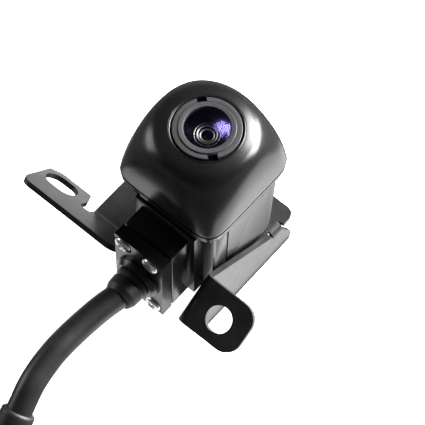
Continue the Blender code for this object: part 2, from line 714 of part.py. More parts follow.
def make_bracket():
    """One sheet: the plate behind the camera, a raised ear, and an arm that ends in a tab."""
    plate = extruded(
        "bracket",
        [
            (PLATE_LEFT, BEND_Y),
            (-8.5, BEND_Y),
            (3.0, BEND_Y),
            (4.0, -9.0),
            (ARM_X, 8.0),
            (ARM_X, 11.0),
            (11.4, 11.4),
            (11.4, 13.4),
            (10.8, 14.6),
            (9.6, PLATE_REAR),
            (-14.0, PLATE_REAR),
            (PLATE_LEFT, 9.0),
        ],
        SHEET,
        Matrix.Translation((0, 0, PLATE_Z)),
        BLACK_STEEL,
    )
    c = math.cos(EAR_ANGLE)
    s = math.sin(EAR_ANGLE)
    ear_frame = Matrix(((1, 0, 0, 0), (0, -c, -s, BEND_Y), (0, s, -c, PLATE_Z), (0, 0, 0, 1)))
    ear = extruded("bracket_ear", ear_outline(), SHEET, ear_frame, BLACK_STEEL)
    boolean(plate, ear, "UNION")
    arm_frame = Matrix(((0, 0, 1, ARM_X), (1, 0, 0, 0), (0, 1, 0, 0), (0, 0, 0, 1)))
    c = math.cos(TAB_ANGLE)
    s = math.sin(TAB_ANGLE)
    tab_low = (TAB_TOP[0] - TAB_DEPTH * c, TAB_TOP[1] - TAB_DEPTH * s)
    arm_outline = [TAB_TOP, tab_low, (-13.5, ARM_BOTTOM_Z), (13.6, ARM_BOTTOM_Z)]
    arm_outline += [(14.1, -49.5), (11.0, PLATE_Z), (8.0, PLATE_Z)]
    arm = extruded("bracket_arm", arm_outline, SHEET, arm_frame, BLACK_STEEL)
    boolean(plate, arm, "UNION")
    tab_frame = Matrix(((1, 0, 0, ARM_X), (0, -c, -s, TAB_TOP[0]), (0, -s, c, TAB_TOP[1]), (0, 0, 0, 1)))
    near = 0.05
    far = TAB_DEPTH - near
    outline = [
        (0.0, near),
        *arc((TAB_WIDTH - TAB_CORNER, near + TAB_CORNER), TAB_CORNER, -90, 0),
        *arc((TAB_WIDTH - TAB_CORNER, far - TAB_CORNER), TAB_CORNER, 0, 90),
        (0.0, far),
    ]
    tab = extruded("bracket_tab", outline, SHEET, tab_frame, BLACK_STEEL)
    boolean(plate, tab, "UNION")
    bends = (
        ((-19.9, BEND_Y, PLATE_Z), (-8.6, BEND_Y, PLATE_Z)),
        ((ARM_X, 8.1, PLATE_Z), (ARM_X, 10.9, PLATE_Z)),
        ((ARM_X, TAB_TOP[0], TAB_TOP[1]), (ARM_X, *tab_low)),
    )
    for number, (start, end) in enumerate(bends):
        start = Vector(start)
        end = Vector(end)
        inward = (end - start).normalized() * 0.07
        start += inward
        end -= inward
        boolean(plate, rod(f"bend_{number}", BEND_R, start, end, BLACK_STEEL, 16), "UNION")
    tab_hole = tab_frame @ Vector((*TAB_HOLE, 0))
    normal = (tab_frame @ Vector((*TAB_HOLE, 3))) - tab_hole
    boolean(plate, rod("tab_hole", TAB_HOLE_R, tab_hole - normal, tab_hole + normal, BLACK_STEEL, 32))
    slot = [
        *arc((EAR_SLOT_X + EAR_SLOT_HALF, EAR_SLOT_Y), EAR_SLOT_R, -90, 90, 10),
        *arc((EAR_SLOT_X - EAR_SLOT_HALF, EAR_SLOT_Y), EAR_SLOT_R, 90, 270, 10),
    ]
    boolean(plate, extruded("ear_slot", slot, 4 * SHEET, ear_frame, BLACK_STEEL))
    for number, (x, y) in enumerate(BRACKET_SCREWS):
        boolean(plate, rod(f"plate_hole_{number}", 1.3, (x, y, -45), (x, y, -41), BLACK_STEEL, 16))
        seat = (x, y, PLATE_Z - SHEET / 2 - GAP)
        pan_head_screw(f"bracket_screw_{number + 1}", BRACKET_HEAD_R, 1.4, 0.8, 5.0, seat, (0, 0, -1))
    return plate


def make_cable():
    """The gland, the cable's free stretches, its sleeve, and the outer shape of its coil."""
    turned(
        "cable_gland",
        [(1.9, -2.0), (2.7, -2.0), (2.7, 1.9), (3.4, 1.9), (3.6, 2.3), (3.6, 3.9), (3.3, 4.5), (1.9, 4.5)],
        RUBBER,
        28,
        (0, BOX_END_Y, GLAND_Z),
        (0, -1, 0),
    )
    tube("cable", smooth_route(CABLE_ROUTE, 6.0), CABLE_R, JACKET)
    tube("cable_tail", smooth_route(TAIL_ROUTE, 6.0), CABLE_R, JACKET)
    fine = smooth_route(CABLE_ROUTE, 1.0)
    end = SLEEVE_START + SLEEVE_LENGTH
    sleeve = tube("cable_sleeve", fine[SLEEVE_START : end + 1 : 3], SLEEVE_R, RUBBER)
    boolean(sleeve, tube("sleeve_bore", fine[SLEEVE_START - 3 : end + 4 : 3], CABLE_R + GAP, RUBBER))
    low = FLOOR_Z
    high = FLOOR_Z + COIL_HEIGHT
    edge = 1.6
    profile = [
        (COIL_INNER_R, low + edge),
        (COIL_INNER_R + edge, low),
        (COIL_OUTER_R - edge, low),
        (COIL_OUTER_R, low + edge),
        (COIL_OUTER_R, high - edge),
        (COIL_OUTER_R - edge, high),
        (COIL_INNER_R + edge, high),
        (COIL_INNER_R, high - edge),
    ]
    turned("cable_coil", profile, JACKET, 48, (*COIL_CENTRE, 0))


def make_plug():
    """A four-way plug: a shrouded body, its pins, and a sprung latch that is pressed to let go."""
    x, y, z = PLUG_CENTRE
    hx, hy, hz = PLUG_HALF
    body = cube("plug_body", (x - hx, y - hy, z - hz), (x + hx, y + hy, z + hz), BLACK_PLASTIC, 0.6)
    mouth = cube("plug_mouth", (x - 4.9, y + 1.0, z - 3.2), (x + 4.9, y + hy + 1, z + 3.2), BLACK_PLASTIC)
    boolean(body, mouth)
    tail = rod("plug_tail", 3.7, (x, y - hy - 4.0, z - 1.0), (x, y - hy + 1.0, z - 1.0), BLACK_PLASTIC, 24)
    boolean(body, tail, "UNION")
    boolean(body, rod("plug_bore", 1.6, (x, y - hy - 5, z - 1.0), (x, y - 3.5, z - 1.0), BLACK_PLASTIC, 16))
    for number in range(4):
        pin_x = x + PIN_PITCH * (number - 1.5)
        hole_half = 2 * PIN_HALF
        hole_low = (pin_x - hole_half, y - 2.4, z - hole_half)
        hole_high = (pin_x + hole_half, y + 2, z + hole_half)
        boolean(body, cube(f"pin_hole_{number}", hole_low, hole_high, BLACK_PLASTIC))
        pin_low = (pin_x - PIN_HALF, y - 2.1, z - PIN_HALF)
        pin_high = (pin_x + PIN_HALF, y + 7.0, z + PIN_HALF)
        cube(f"plug_pin_{number + 1}", pin_low, pin_high, BRASS)
    hinge_y = y + LATCH_HINGE[0]
    hinge_z = z + LATCH_HINGE[1]
    top = z + hz
    half = 2.2
    latch_high = (x + half, hinge_y + 0.4, top + 2.8)
    latch = cube("plug_latch", (x - half, y - 8.5, top + 1.7), latch_high, BLACK_PLASTIC, 0.25)
    hub_ends = ((x - half, hinge_y, hinge_z), (x + half, hinge_y, hinge_z))
    boolean(latch, rod("latch_hub", LATCH_HUB_R, *hub_ends, BLACK_PLASTIC, 16), "UNION")
    tooth_high = (x + 2.0, y + 1.8, top + 3.9)
    tooth = cube("latch_tooth", (x - 2.0, y - 0.5, top + 2.0), tooth_high, BLACK_PLASTIC, 0.25)
    boolean(latch, tooth, "UNION")
    pad_high = (x + 3.4, y - 7.4, top + 3.2)
    pad = cube("latch_pad", (x - 3.4, y - 9.6, top + 1.8), pad_high, BLACK_PLASTIC, 0.3)
    boolean(latch, pad, "UNION")
    for side in (-1, 1):
        near = x + side * 2.5
        far = x + side * 3.7
        cheek = cube(
            f"latch_cheek_{side}",
            (min(near, far), hinge_y - 1.6, top - 0.8),
            (max(near, far), hinge_y + 1.6, top + 2.9),
            BLACK_PLASTIC,
            0.3,
        )
        boolean(body, cheek, "UNION")


make_cover()
make_seal()
make_housing()
make_outlet()
make_lens()
make_electronics()
make_bracket()
make_cable()
make_plug()
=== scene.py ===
"""Looks of the rear-view camera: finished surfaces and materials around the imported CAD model."""

import math

import bmesh
import bpy
from mathutils import Matrix, Vector


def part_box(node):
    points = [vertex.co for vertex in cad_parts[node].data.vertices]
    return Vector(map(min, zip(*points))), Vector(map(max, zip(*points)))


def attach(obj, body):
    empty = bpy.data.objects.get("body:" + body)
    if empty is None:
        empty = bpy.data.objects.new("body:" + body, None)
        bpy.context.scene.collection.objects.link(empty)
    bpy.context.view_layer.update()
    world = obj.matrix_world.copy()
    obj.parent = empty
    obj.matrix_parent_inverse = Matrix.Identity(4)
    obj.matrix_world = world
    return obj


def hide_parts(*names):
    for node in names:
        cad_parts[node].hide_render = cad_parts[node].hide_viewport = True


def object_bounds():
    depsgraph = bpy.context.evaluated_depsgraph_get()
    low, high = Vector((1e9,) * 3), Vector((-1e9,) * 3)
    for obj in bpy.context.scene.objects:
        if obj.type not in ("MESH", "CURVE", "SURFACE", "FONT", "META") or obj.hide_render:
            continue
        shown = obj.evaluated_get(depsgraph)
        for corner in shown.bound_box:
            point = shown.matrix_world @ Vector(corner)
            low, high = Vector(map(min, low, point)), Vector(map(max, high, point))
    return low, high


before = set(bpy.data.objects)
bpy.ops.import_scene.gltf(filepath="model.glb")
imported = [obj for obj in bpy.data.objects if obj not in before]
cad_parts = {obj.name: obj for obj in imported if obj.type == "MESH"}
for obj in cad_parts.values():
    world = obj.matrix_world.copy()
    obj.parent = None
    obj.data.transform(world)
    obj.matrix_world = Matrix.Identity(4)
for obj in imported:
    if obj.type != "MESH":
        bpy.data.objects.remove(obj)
cad_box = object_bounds()

MM = 0.001

# Every place is in millimetres from the middle of the lens rim, as in the CAD model
barrel_low, barrel_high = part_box("lens_barrel")
rim_x = (barrel_low[0] + barrel_high[0]) / 2
rim_y = (barrel_low[1] + barrel_high[1]) / 2
RIM = Vector((rim_x, rim_y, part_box("front_cover")[1][2]))
TO_FRAME = Matrix.Translation(RIM) @ Matrix.Scale(MM, 4)

# Front cover
RIM_R = 7.5
COVER_HALF = 12.7
COVER_OFFSET = (-0.7, -0.1)
COVER_SHOULDER_Z = -12.0
COVER_SHOULDER_POWER = 2.64
COVER_FOOT_POWER = 7.3
COVER_SEAM_Z = -14.7
COVER_TOP_FALL = 2.2
COVER_WALL = 1.5
COVER_FOOT_R = 0.15
COVER_SIDES = 160
BORE_R = 7.0

# Housing
LIP_FOOT_Z = -18.4
LIP_EDGE_Z = -16.9
LIP_TOP_Z = -15.0
LIP_OPENING = 8.4
SEAM_SLIT = 0.7
SNAP_WINDOW = ((-7.7, -14.0, -17.0), (-6.1, -11.4, -15.7))
BLOCK_X = 7.6
EJECTOR_R = 0.22
EJECTOR_MARKS = ((-10.6, -38.6), (-9.9, -39.6))

# Cable outlet
BOX_X = 6.1
BOX_TOP_Z = -21.2
BOX_BOTTOM_Z = -42.0
BOX_END_Y = -20.4
BOX_SPLIT_Y = -17.7
OUTLET_SCREWS = ((-4.0, -23.5), (3.0, -23.6), (-3.8, -39.9), (3.6, -40.1))
OUTLET_SPINS = (28, 62, 15, 40)
SCREW_HEAD_R = 1.9
SCREW_HEAD_HEIGHT = 1.35
SCREW_SHANK_R = 0.8
SCREW_LENGTH = 5.0
SCREW_SEAT_DEPTH = 0.9
GLAND_Z = -32.0

# Lens
GLASS_SPHERE_R = 9.0
GLASS_TOP_Z = 1.5
GLASS_EDGE_R = 4.45
NOTCH_ANGLES = (140, 320)
CELL_EDGES = (("outer", 1.92, -2.42, 0.16), ("inner", 1.34, -2.72, 0.15), ("rim", 2.5, -2.42, 0.07))

# Bracket: one sheet with four panels
SHEET = 1.2
PLATE_Z = -42.9
PLATE_LEFT = -20.0
PLATE_REAR = 15.0
EAR_ROOT_X = -8.5
BEND_Y = -12.0
EAR_ANGLE = math.radians(45)
EAR_DEPTH = 8.2
EAR_SLOT = (-29.4, -0.4)
EAR_SLOT_R = 2.8
EAR_SLOT_HALF = 1.1
EAR_BEND_R = 1.7
ARM_X = 10.9
ARM_BOTTOM_Z = -52.1
ARM_BEND_R = 1.0
NECK_Y = (8.0, 11.0)
TAB_ANGLE = math.radians(33)
TAB_TOP = (-11.8, -30.5)
TAB_DEPTH = 10.9
TAB_WIDTH = 13.4
TAB_CORNER = 3.6
TAB_HOLE = (6.9, 5.8)
TAB_HOLE_R = 2.8
TAB_BEND_R = 1.5
BRACKET_SCREWS = ((-6.0, 5.5), (5.5, 6.0), (-5.5, -5.0))
BRACKET_HEAD_R = 2.1
BRACKET_HEAD_HEIGHT = 1.4
BRACKET_SCREW_HOLE_R = 1.3

# Cable
CABLE_R = 2.7
SLEEVE_R = 3.5
FLOOR = -52.1
COIL_CENTRE = (-22.0, -104.0)
COIL_R = 30.0
COIL_TURNS = 2.5
COIL_PITCH = 5.3
POINTS_PER_TURN = 24
CLIMB_FROM = 0.72
SLEEVE_START = 31.0
SLEEVE_LENGTH = 15.0
SLEEVE_STEP = 0.25
TIE_ANGLE = math.radians(-60)
TIE_HALF = (4.0, 8.15)
TIE_CORNER = 2.6
TIE_THICK = 0.5
TIE_HALF_WIDTH = 4.0
CABLE_ROUTE = (
    (-0.05, -25.9, -31.9),
    (-1.0, -30.9, -32.0),
    (-1.7, -37.2, -32.4),
    (-1.9, -42.5, -32.7),
    (-1.7, -47.2, -33.6),
    (-1.2, -50.9, -34.6),
    (-0.5, -54.4, -36.6),
    (0.1, -57.3, -38.5),
    (0.8, -60.5, -41.0),
    (1.8, -65.0, -44.5),
    (3.0, -70.5, -47.4),
    (4.2, -75.5, -48.9),
    (5.2, -79.5, -49.3),
)
TAIL_ROUTE = (
    (-52.0, -83.0, -43.4),
    (-52.0, -78.0, -45.4),
    (-52.0, -72.0, -47.4),
    (-52.0, -66.0, -48.2),
    (-52.0, -60.4, -48.3),
)


def place(x, y, z):
    """A point of the frame, in metres, from millimetres off the lens rim."""
    return RIM + Vector((x, y, z)) * MM


# ---------------------------------------------------------------- materials
NOISE_RANGE = (0.3, 0.7)


class Look:
    """A Principled material with its node tree at hand."""

    def __init__(self, name, colour, roughness, metallic=0.0):
        self.material = bpy.data.materials.new(name)
        self.material.use_nodes = True
        self.nodes = self.material.node_tree.nodes
        self.links = self.material.node_tree.links
        self.shader = self.nodes["Principled BSDF"]
        self.shader.inputs["Base Color"].default_value = (*colour, 1.0)
        self.shader.inputs["Roughness"].default_value = roughness
        self.shader.inputs["Metallic"].default_value = metallic
        self.coordinates = self.nodes.new("ShaderNodeTexCoord").outputs["Object"]

    def set(self, **values):
        """Set constants on the shader's own sockets, with _ for each space in a name."""
        for socket, value in values.items():
            self.shader.inputs[socket.replace("_", " ")].default_value = value

    def noise(self, scale, detail=3.0):
        """A noise texture fixed to the object, with its scale in cells a metre."""
        texture = self.nodes.new("ShaderNodeTexNoise")
        texture.inputs["Scale"].default_value = scale
        texture.inputs["Detail"].default_value = detail
        self.links.new(self.coordinates, texture.inputs["Vector"])
        return texture.outputs["Fac"]

    def lathe_marks(self, scale):
        """Fine rings about the lens axis, as a tool leaves them."""
        offset = self.nodes.new("ShaderNodeVectorMath")
        offset.operation = "SUBTRACT"
        offset.inputs[1].default_value = RIM
        self.links.new(self.coordinates, offset.inputs[0])
        flat = self.nodes.new("ShaderNodeVectorMath")
        flat.operation = "MULTIPLY"
        flat.inputs[1].default_value = (1.0, 1.0, 0.0)
        self.links.new(offset.outputs["Vector"], flat.inputs[0])
        radius = self.nodes.new("ShaderNodeVectorMath")
        radius.operation = "LENGTH"
        self.links.new(flat.outputs["Vector"], radius.inputs[0])
        texture = self.nodes.new("ShaderNodeTexNoise")
        texture.noise_dimensions = "1D"
        texture.inputs["Scale"].default_value = scale
        texture.inputs["Detail"].default_value = 2.0
        self.links.new(radius.outputs["Value"], texture.inputs["W"])
        return texture.outputs["Fac"]

    def spread(self, source, low, high):
        """Stretch the middle of a texture's range to low..high."""
        ranged = self.nodes.new("ShaderNodeMapRange")
        ranged.inputs["From Min"].default_value = NOISE_RANGE[0]
        ranged.inputs["From Max"].default_value = NOISE_RANGE[1]
        ranged.inputs["To Min"].default_value = low
        ranged.inputs["To Max"].default_value = high
        self.links.new(source, ranged.inputs["Value"])
        return ranged.outputs["Result"]

    def rough(self, source, low, high):
        """Let the roughness wander between two values."""
        self.links.new(self.spread(source, low, high), self.shader.inputs["Roughness"])

    def tint(self, source, dark, light):
        """Let the colour wander between two colours."""
        mix = self.nodes.new("ShaderNodeMix")
        mix.data_type = "RGBA"
        mix.inputs["A"].default_value = (*dark, 1.0)
        mix.inputs["B"].default_value = (*light, 1.0)
        self.links.new(self.spread(source, 0.0, 1.0), mix.inputs["Factor"])
        self.links.new(mix.outputs["Result"], self.shader.inputs["Base Color"])

    def bump(self, source, depth):
        """Raise the surface by up to depth millimetres."""
        bump = self.nodes.new("ShaderNodeBump")
        bump.inputs["Strength"].default_value = 1.0
        bump.inputs["Distance"].default_value = depth * MM
        self.links.new(source, bump.inputs["Height"])
        self.links.new(bump.outputs["Normal"], self.shader.inputs["Normal"])


def grey(level):
    return (level, level, level)


def moulded(name, level, low, high):
    """Black moulded plastic with a fine spark-eroded grain."""
    look = Look(name, grey(level), (low + high) / 2)
    look.tint(look.noise(90.0), grey(level * 0.8), grey(level * 1.25))
    look.rough(look.noise(240.0, 4.0), low, high)
    look.bump(look.noise(2600.0, 2.0), 0.006)
    return look.material


def coated_steel(name, level, low, high):
    """Black powder coat: a faint orange peel with fine speckle in it."""
    look = Look(name, grey(level), (low + high) / 2)
    look.tint(look.noise(260.0, 5.0), grey(level * 0.7), grey(level * 1.35))
    look.rough(look.noise(420.0, 5.0), low, high)
    look.bump(look.noise(900.0, 3.0), 0.018)
    return look.material


def metal(name, colour, low, high):
    """Bright metal with faint scuffs."""
    look = Look(name, colour, (low + high) / 2, 1.0)
    look.tint(look.noise(180.0), tuple(c * 0.82 for c in colour), colour)
    look.rough(look.noise(900.0, 4.0), low, high)
    look.bump(look.noise(2400.0, 2.0), 0.002)
    return look.material


def turned_metal(name, colour, low, high, depth=0.004, metallic=1.0):
    """Metal with fine machining rings about the lens axis; metallic is 0 where a dye covers it."""
    look = Look(name, colour, (low + high) / 2, metallic)
    marks = look.lathe_marks(5200.0)
    look.tint(marks, tuple(c * 0.75 for c in colour), tuple(c * 1.15 for c in colour))
    look.rough(look.noise(700.0, 4.0), low, high)
    look.bump(marks, depth)
    return look.material


def soft_black(name, level, low, high):
    """Black rubber, a cable's jacket or woven band, matt to a degree."""
    look = Look(name, grey(level), (low + high) / 2)
    look.tint(look.noise(150.0), grey(level * 0.75), grey(level * 1.3))
    look.rough(look.noise(500.0, 4.0), low, high)
    look.bump(look.noise(1500.0, 3.0), 0.01)
    return look.material


def plain(name, colour, low, high):
    """Coloured plastic or board with slight variation."""
    look = Look(name, colour, (low + high) / 2)
    look.tint(look.noise(220.0), tuple(c * 0.85 for c in colour), colour)
    look.rough(look.noise(700.0, 3.0), low, high)
    return look.material


def coated_glass(name, tint, ior, alpha, colour, low, high):
    """Clear glass: its coating tints what it reflects, and the rest shows what lies behind it."""
    look = Look(name, colour, (low + high) / 2)
    look.set(IOR=ior, Specular_Tint=(*tint, 1.0), Alpha=alpha)
    look.rough(look.noise(500.0), low, high)
    return look.material


COVER_BLACK = moulded("cover_black", 0.006, 0.25, 0.28)
HOUSING_BLACK = moulded("housing_black", 0.006, 0.22, 0.25)
PLUG_BLACK = moulded("plug_black", 0.018, 0.38, 0.48)
COATED_STEEL = coated_steel("coated_steel", 0.016, 0.28, 0.33)
RING_BLACK = turned_metal("ring_black", (0.036, 0.036, 0.038), 0.34, 0.42, metallic=0.0)
BARREL_BLACK = turned_metal("barrel_black", (0.02, 0.02, 0.022), 0.30, 0.42)
RING_BRIGHT = turned_metal("ring_bright", (0.95, 0.95, 0.93), 0.25, 0.35, 0.001)
SCREW_STEEL = metal("screw_steel", (0.86, 0.86, 0.87), 0.22, 0.32)
GLAND_RUBBER = soft_black("gland_rubber", 0.012, 0.42, 0.54)
JACKET = soft_black("cable_jacket", 0.013, 0.33, 0.42)
TIE_BLACK = soft_black("tie_black", 0.03, 0.7, 0.85)
BOARD = plain("circuit_board", (0.02, 0.16, 0.06), 0.35, 0.5)
CHIP = plain("chip", (0.03, 0.03, 0.035), 0.3, 0.45)
BRASS = metal("brass_parts", (0.72, 0.52, 0.24), 0.2, 0.32)
WIRES = (
    plain("wire_red", (0.6, 0.04, 0.03), 0.4, 0.5),
    plain("wire_black", (0.03, 0.03, 0.03), 0.4, 0.5),
    plain("wire_yellow", (0.75, 0.55, 0.05), 0.4, 0.5),
    plain("wire_white", (0.8, 0.8, 0.78), 0.4, 0.5),
)
FRONT_GLASS = coated_glass("coated_glass", (0.36, 0.28, 1.0), 2.2, 0.26, grey(0.001), 0.15, 0.18)
INNER_GLASS = coated_glass("inner_glass", (0.6, 0.66, 0.4), 1.7, 0.6, (0.05, 0.055, 0.02), 0.1, 0.14)


def finish_node(name, material):
    """Give a carried-over CAD node its final material."""
    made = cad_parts[name]
    for slot in made.material_slots:
        slot.material = material


# ---------------------------------------------------------------- mesh helpers
def add_mesh(name, bm, material, smooth=40.0, in_mm=True):
    """Make an object of a bmesh whose numbers are millimetres from the lens rim."""
    if in_mm:
        bmesh.ops.remove_doubles(bm, verts=bm.verts, dist=0.0005)
        bmesh.ops.transform(bm, matrix=TO_FRAME, verts=bm.verts)
    bmesh.ops.recalc_face_normals(bm, faces=bm.faces)
    mesh = bpy.data.meshes.new(name)
    bm.to_mesh(mesh)
    bm.free()
    mesh.shade_smooth()
    mesh.set_sharp_from_angle(angle=math.radians(smooth))
    mesh.materials.append(material)
    made = bpy.data.objects.new(name, mesh)
    bpy.context.collection.objects.link(made)
    return made


def stand_for(made, slot, *nodes, body="camera"):
    """The piece rides on its body and stands for those CAD nodes."""
    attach(made, body)
    if nodes:
        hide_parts(*nodes)
    return made


def cut(target, cutter, operation="DIFFERENCE"):
    """Apply one exact Boolean and remove the other object."""
    modifier = target.modifiers.new("cut", "BOOLEAN")
    modifier.operation = operation
    modifier.solver = "EXACT"
    modifier.object = cutter
    bpy.context.view_layer.update()
    evaluated = target.evaluated_get(bpy.context.evaluated_depsgraph_get())
    mesh = bpy.data.meshes.new_from_object(evaluated)
    target.modifiers.clear()
    target.data = mesh
    bpy.data.objects.remove(cutter)
    return target


def soften(made, width, segments=3):
    """Round the edges of a piece; width is in millimetres."""
    bevel = made.modifiers.new("soften", "BEVEL")
    bevel.width = width * MM
    bevel.segments = segments
    bevel.limit_method = "ANGLE"
    bevel.angle_limit = math.radians(32)
    bevel.harden_normals = True
    made.data.shade_smooth()
    made.data.set_sharp_from_angle(angle=math.radians(60))
    return made


def filleted(corners, steps=5):
    """Round the corners of a closed outline; each corner is (x, y, radius)."""
    points = []
    for k, (x, y, radius) in enumerate(corners):
        here = Vector((x, y))
        if radius <= 0:
            points.append((x, y))
            continue
        before = (Vector(corners[k - 1][:2]) - here).normalized()
        after = (Vector(corners[(k + 1) % len(corners)][:2]) - here).normalized()
        half = before.angle(after) / 2
        centre = here + (before + after).normalized() * (radius / math.sin(half))
        start = here + before * (radius / math.tan(half)) - centre
        end = here + after * (radius / math.tan(half)) - centre
        for step in range(steps + 1):
            way = start.lerp(end, step / steps).normalized()
            points.append(tuple(centre + way * radius))
    return points


def turned(name, profile, material, sides, base=(0, 0, 0), axis=(0, 0, 1), smooth=40.0):
    """A closed outline of (radius, height) pairs turned about an axis through base."""
    bm = bmesh.new()
    rings = []
    for radius, height in profile:
        count = sides if radius > 0.0001 else 1
        ring = []
        for step in range(count):
            angle = 2 * math.pi * step / sides
            ring.append(bm.verts.new((radius * math.cos(angle), radius * math.sin(angle), height)))
        rings.append(ring)
    for k, here in enumerate(rings):
        there = rings[(k + 1) % len(rings)]
        if len(here) == len(there) == 1:
            continue
        for i in range(sides):
            j = (i + 1) % sides
            corners = (here[i % len(here)], here[j % len(here)], there[j % len(there)], there[i % len(there)])
            bm.faces.new(dict.fromkeys(corners))
    turn = Vector(axis).to_track_quat("Z", "Y").to_matrix().to_4x4()
    bmesh.ops.transform(bm, matrix=Matrix.Translation(base) @ turn, verts=bm.verts)
    return add_mesh(name, bm, material, smooth)


def drum(radius, start, end, sides):
    """A cylinder between two points, as a cutter."""
    start = Vector(start)
    run = Vector(end) - start
    profile = [(0.0, 0.0), (radius, 0.0), (radius, run.length), (0.0, run.length)]
    return turned("drum", profile, HOUSING_BLACK, sides, start, run)


def block(low, high, name="block", material=None):
    """A box between two corners, as a cutter or as the start of a piece."""
    bm = bmesh.new()
    bmesh.ops.create_cube(bm, size=1.0)
    bmesh.ops.scale(bm, vec=[b - a for a, b in zip(low, high)], verts=bm.verts)
    bmesh.ops.translate(bm, vec=[(a + b) / 2 for a, b in zip(low, high)], verts=bm.verts)
    return add_mesh(name, bm, material or HOUSING_BLACK)


def arc(centre, radius, start, end, steps):
    """Points along an arc between two angles in degrees."""
    points = []
    for k in range(steps + 1):
        angle = math.radians(start + (end - start) * k / steps)
        points.append((centre[0] + radius * math.cos(angle), centre[1] + radius * math.sin(angle)))
    return points


def loft(name, rings, material, capped=False):
    """Skin equal rings of (x, y, z) points: a closed loop of rings, or a stack with a cap on each end."""
    bm = bmesh.new()
    rings = [[bm.verts.new(p) for p in ring] for ring in rings]
    pairs = list(zip(rings, rings[1:]))
    if capped:
        bm.faces.new(rings[0])
        bm.faces.new(rings[-1])
    else:
        pairs.append((rings[-1], rings[0]))
    for here, there in pairs:
        for i in range(len(here)):
            j = (i + 1) % len(here)
            bm.faces.new((here[i], here[j], there[j], there[i]))
    return add_mesh(name, bm, material)


def refined(name, node, material):
    """The start of a finished piece: a CAD solid whose flat faces are made whole again."""
    bm = bmesh.new()
    bm.from_mesh(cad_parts[node].data)
    bmesh.ops.remove_doubles(bm, verts=bm.verts, dist=0.002 * MM)
    bmesh.ops.dissolve_limit(bm, angle_limit=math.radians(0.4), verts=bm.verts, edges=bm.edges)
    made = add_mesh(name, bm, material, in_mm=False)
    made.data.materials.clear()
    made.data.materials.append(material)
    return made


# ---------------------------------------------------------------- cover and lens
def cover_outline(share, z, inset=0.0, least=0.0):
    """The cover's outline where it has spread by share: a circle at the rim, a rounded square at the seam."""
    half = max(least, RIM_R + (COVER_HALF - RIM_R) * share - inset)
    power = 2 + (COVER_FOOT_POWER - 2) * (z / COVER_SEAM_Z) ** 2
    ring = []
    for step in range(COVER_SIDES):
        angle = 2 * math.pi * step / COVER_SIDES
        c = math.cos(angle)
        s = math.sin(angle)
        x = half * math.copysign(abs(c) ** (2 / power), c) + COVER_OFFSET[0] * share
        y = half * math.copysign(abs(s) ** (2 / power), s) + COVER_OFFSET[1] * share
        ring.append((x, y, z))
    return ring


def circle(radius, z):
    """The same number of points as the cover's outline, on a circle."""
    ring = []
    for step in range(COVER_SIDES):
        angle = 2 * math.pi * step / COVER_SIDES
        ring.append((radius * math.cos(angle), radius * math.sin(angle), z))
    return ring


def make_cover():
    """The cover: a rolled rim round the bore, a full shoulder, and a rounded foot at the seam."""
    power = 2 / COVER_SHOULDER_POWER
    rings = [circle(BORE_R, -2.8), circle(BORE_R, -0.32)]
    rings += [circle(BORE_R + 0.04, -0.14), circle(BORE_R + 0.13, -0.03), circle(BORE_R + 0.24, 0.0)]
    rings += [circle(BORE_R + 0.34, -0.05), circle(BORE_R + 0.42, -0.16), circle(BORE_R + 0.5, -0.1)]
    steps = 34
    for step in range(1, steps + 1):
        angle = math.pi / 2 * step / steps
        z = COVER_SHOULDER_Z * (1 - math.cos(angle) ** power)
        share = math.sin(angle) ** power
        fall = COVER_TOP_FALL * share * (1 - share) ** 2
        if z - fall < -0.12:
            rings.append(cover_outline(share, z - fall))
    for z in (-12.8, -13.6, COVER_SEAM_Z + COVER_FOOT_R):
        rings.append(cover_outline(1.0, z))
    for angle in (22.5, 45, 67.5, 90):
        inset = COVER_FOOT_R * (1 - math.cos(math.radians(angle)))
        z = COVER_SEAM_Z + COVER_FOOT_R * (1 - math.sin(math.radians(angle)))
        rings.append(cover_outline(1.0, z, inset))
    rings.append(cover_outline(1.0, COVER_SEAM_Z, COVER_WALL))
    for z in (-11.6, -8.8, -6.4, -4.6):
        drop = 1 - min(1.0, z / COVER_SHOULDER_Z)
        share = (1 - drop**COVER_SHOULDER_POWER) ** (1 / COVER_SHOULDER_POWER)
        rings.append(cover_outline(share, z, COVER_WALL, BORE_R + 0.1))
    made = loft("cover_shell", rings, COVER_BLACK)
    stand_for(made, "black_plastic", "front_cover")


def make_lip():
    """The housing's lip, which follows the cover's outline just below the seam."""
    rings = []
    for z, inset in ((LIP_FOOT_Z, 1.8), (LIP_EDGE_Z, 0.2), (LIP_TOP_Z, 0.05)):
        rings.append([(*point[:2], z) for point in cover_outline(1.0, COVER_SEAM_Z, inset)])
    lip = loft("lip", rings, HOUSING_BLACK, capped=True)
    return cut(lip, block((-LIP_OPENING, -LIP_OPENING, -19.0), (LIP_OPENING, LIP_OPENING, -14.0)))


def make_slit():
    """A cutter for the gap round the seam, as deep as the cover's wall."""
    slit = block((-15.0, -15.0, COVER_SEAM_Z - SEAM_SLIT), (15.0, 15.0, COVER_SEAM_Z + 0.3))
    x, y = COVER_OFFSET
    inner = COVER_HALF - COVER_WALL - 0.1
    return cut(slit, block((x - inner, y - inner, -17.0), (x + inner, y + inner, -13.0)))


def make_housing():
    """The CAD's housing with a finer lip, a slit at the seam, a snap window and small moulding marks."""
    housing = refined("camera_housing", "rear_housing", HOUSING_BLACK)
    cut(housing, make_lip(), "UNION")
    cut(housing, make_slit())
    cut(housing, block(*SNAP_WINDOW))
    for y, z in EJECTOR_MARKS:
        cut(housing, drum(EJECTOR_R, (BLOCK_X - 0.15, y, z), (BLOCK_X + 1, y, z), 20))
    soften(housing, 0.14)
    stand_for(housing, "black_plastic", "rear_housing")


